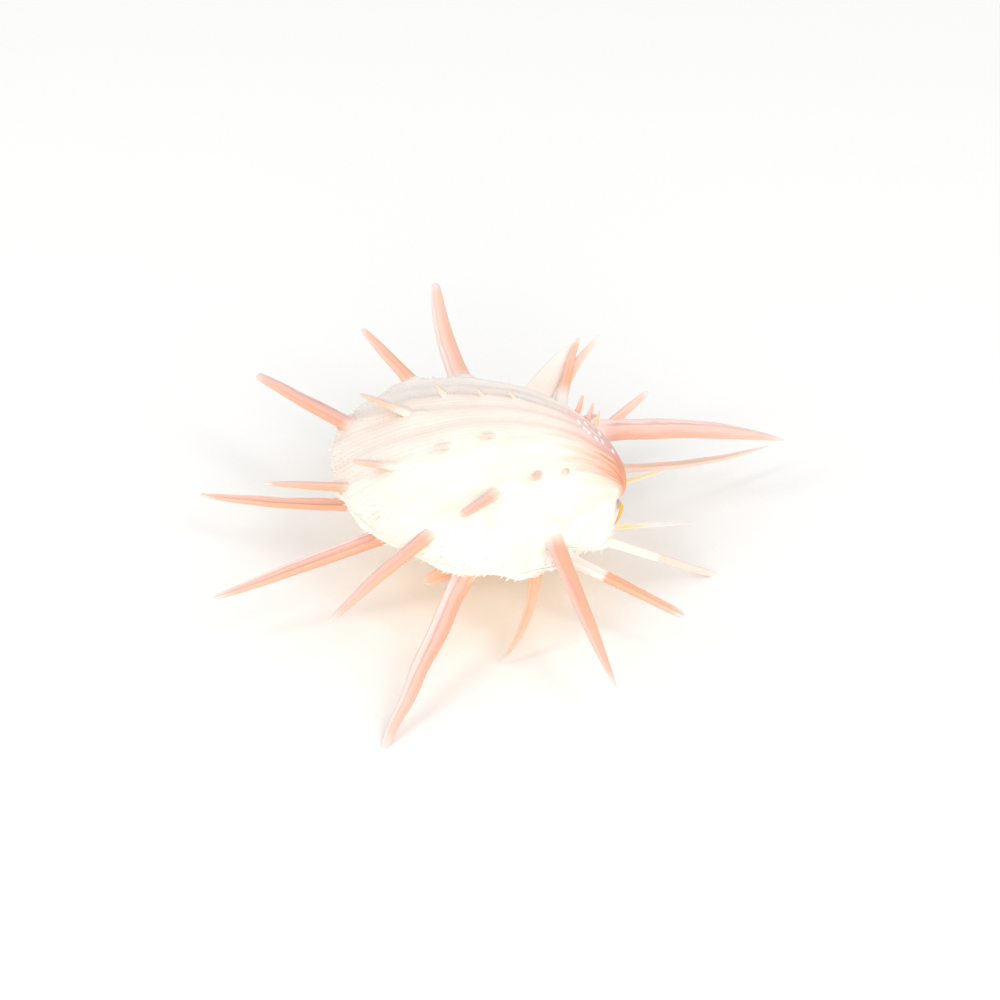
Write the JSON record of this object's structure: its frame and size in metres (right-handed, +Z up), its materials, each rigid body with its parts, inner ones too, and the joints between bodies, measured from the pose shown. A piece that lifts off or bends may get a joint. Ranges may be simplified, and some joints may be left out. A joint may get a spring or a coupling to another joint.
{
  "type": "thorny oyster shell",
  "caption": "Closed pair of thorny oyster shell valves with long radiating spines, standing on its spine tips, for display as a natural shell.",
  "frame": {"origin": "middle of the shell's bounding box, on the ground that its spine tips stand on", "axes": "+Z up; +X from the far margin towards the hinge and beaks; +Y towards the hidden back of the shell, away from the side that is seen in the picture"},
  "size_m": [0.125, 0.1122, 0.0406],
  "materials": {
    "upper_shell": "dry matt calcite, cream to white with a pink back, coral spines with pale tips",
    "lower_shell": "dry matt calcite, orange to cream, salmon and yellow spines",
    "ligament": "dried horny protein, dark brown, matt"
  },
  "bodies": {
    "root": {"upper_valve": "upper_shell", "lower_valve": "lower_shell", "hinge_ligament": "ligament"}
  },
  "joints": []
}
